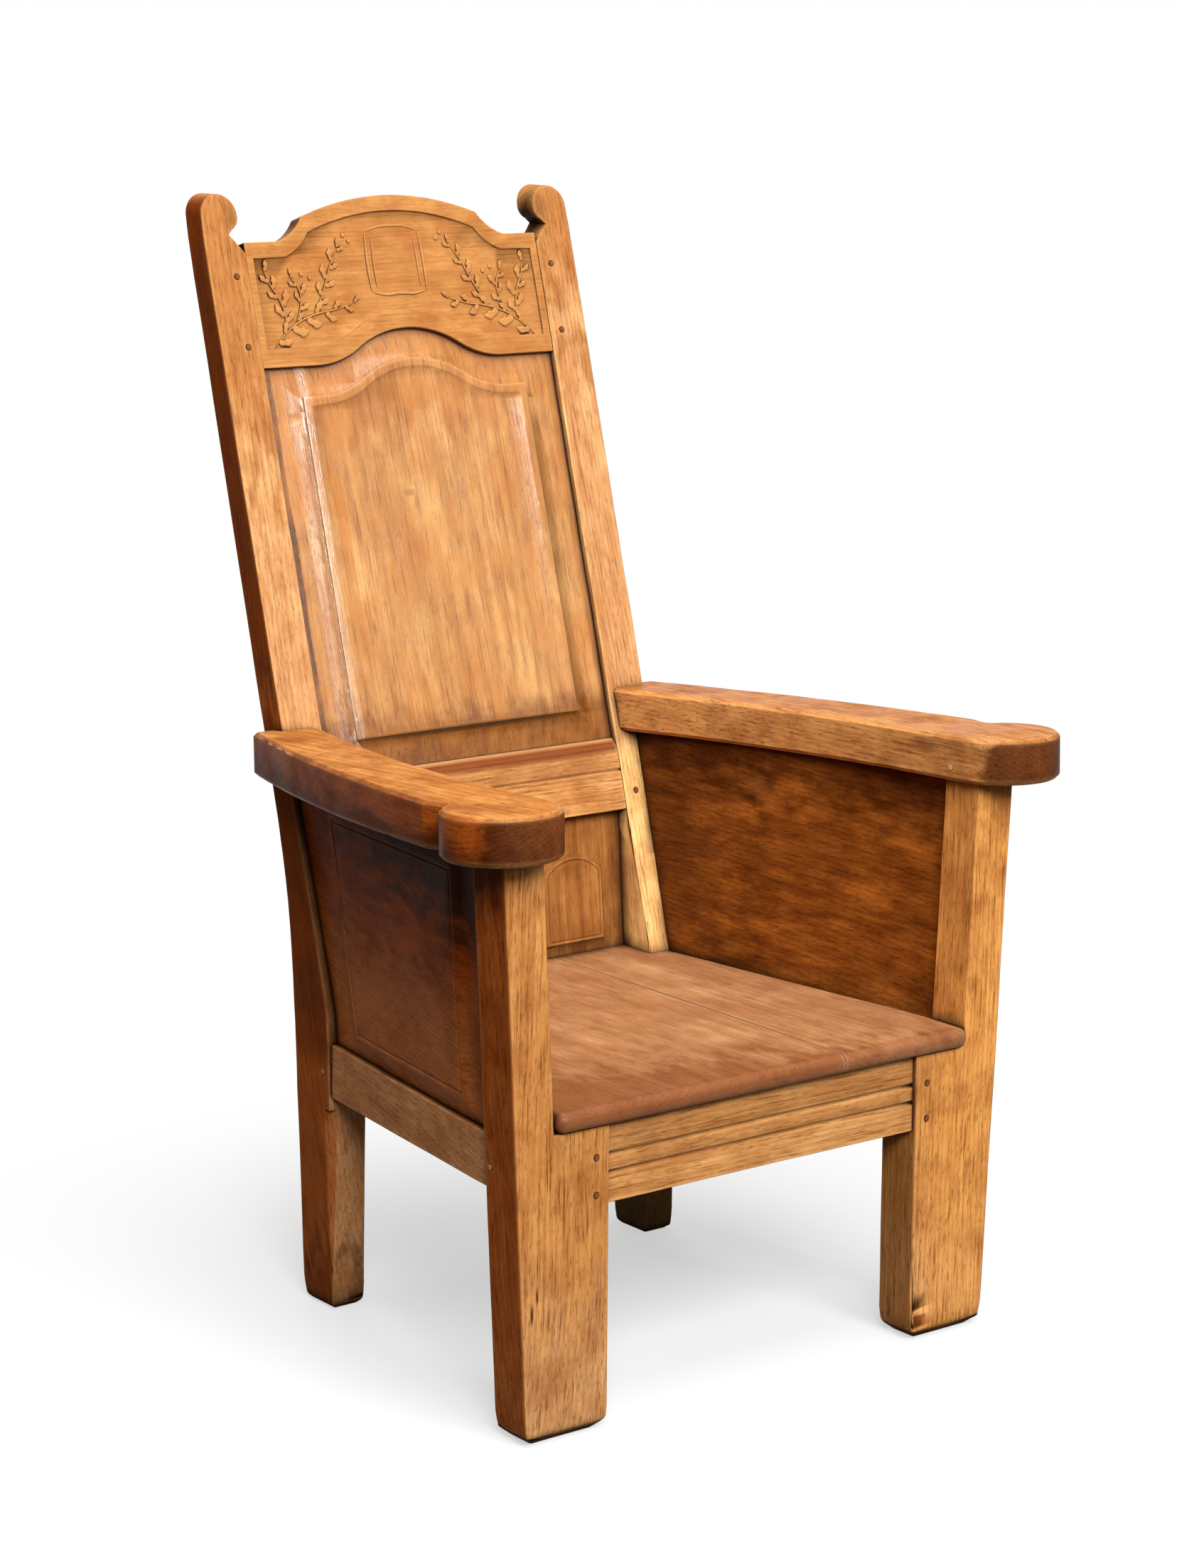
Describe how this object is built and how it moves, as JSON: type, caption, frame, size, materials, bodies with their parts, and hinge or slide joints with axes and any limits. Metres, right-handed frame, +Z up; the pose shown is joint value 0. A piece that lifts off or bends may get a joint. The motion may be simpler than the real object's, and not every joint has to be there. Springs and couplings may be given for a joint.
{
  "type": "wainscot chair",
  "caption": "Joined wooden armchair with a tall raked panelled back, carved arched crest with scrolled ears, panelled sides, bowed arms with rounded paws and a boarded seat.",
  "frame": {"origin": "on the floor, under the middle of the chair's bounding box", "axes": "+Z up, +Y towards the back of the chair, +X towards the right as seen from the front"},
  "size_m": [0.7358, 0.7274, 1.14],
  "materials": {
    "frame_wood": "waxed, aged and worn",
    "crest_wood": "waxed, aged and worn",
    "back_panel_wood": "waxed, aged and worn",
    "side_panel_wood": "waxed, aged and worn",
    "arm_wood": "waxed, aged and worn",
    "seat_wood": "waxed, aged and worn",
    "peg_wood": "waxed, aged and worn"
  },
  "bodies": {
    "root": {"front_post_left": "frame_wood", "front_post_right": "frame_wood", "back_post_left": "frame_wood", "back_post_right": "frame_wood", "mid_back_rail": "frame_wood", "lower_back_muntin": "frame_wood", "back_seat_rail": "frame_wood", "front_seat_rail": "frame_wood", "side_seat_rail_left": "frame_wood", "side_seat_rail_right": "frame_wood", "crest_rail": "crest_wood", "upper_back_panel": "back_panel_wood", "lower_back_panel_left": "back_panel_wood", "lower_back_panel_right": "back_panel_wood", "side_panel_left": "side_panel_wood", "side_panel_right": "side_panel_wood", "arm_left": "arm_wood", "arm_right": "arm_wood", "seat_board_wide": "seat_wood", "seat_board_narrow": "seat_wood", "crest_pegs": "peg_wood", "mid_rail_pegs": "peg_wood", "front_rail_pegs": "peg_wood", "back_rail_pegs": "peg_wood", "side_rail_pegs": "peg_wood", "arm_pegs": "peg_wood"}
  },
  "joints": []
}
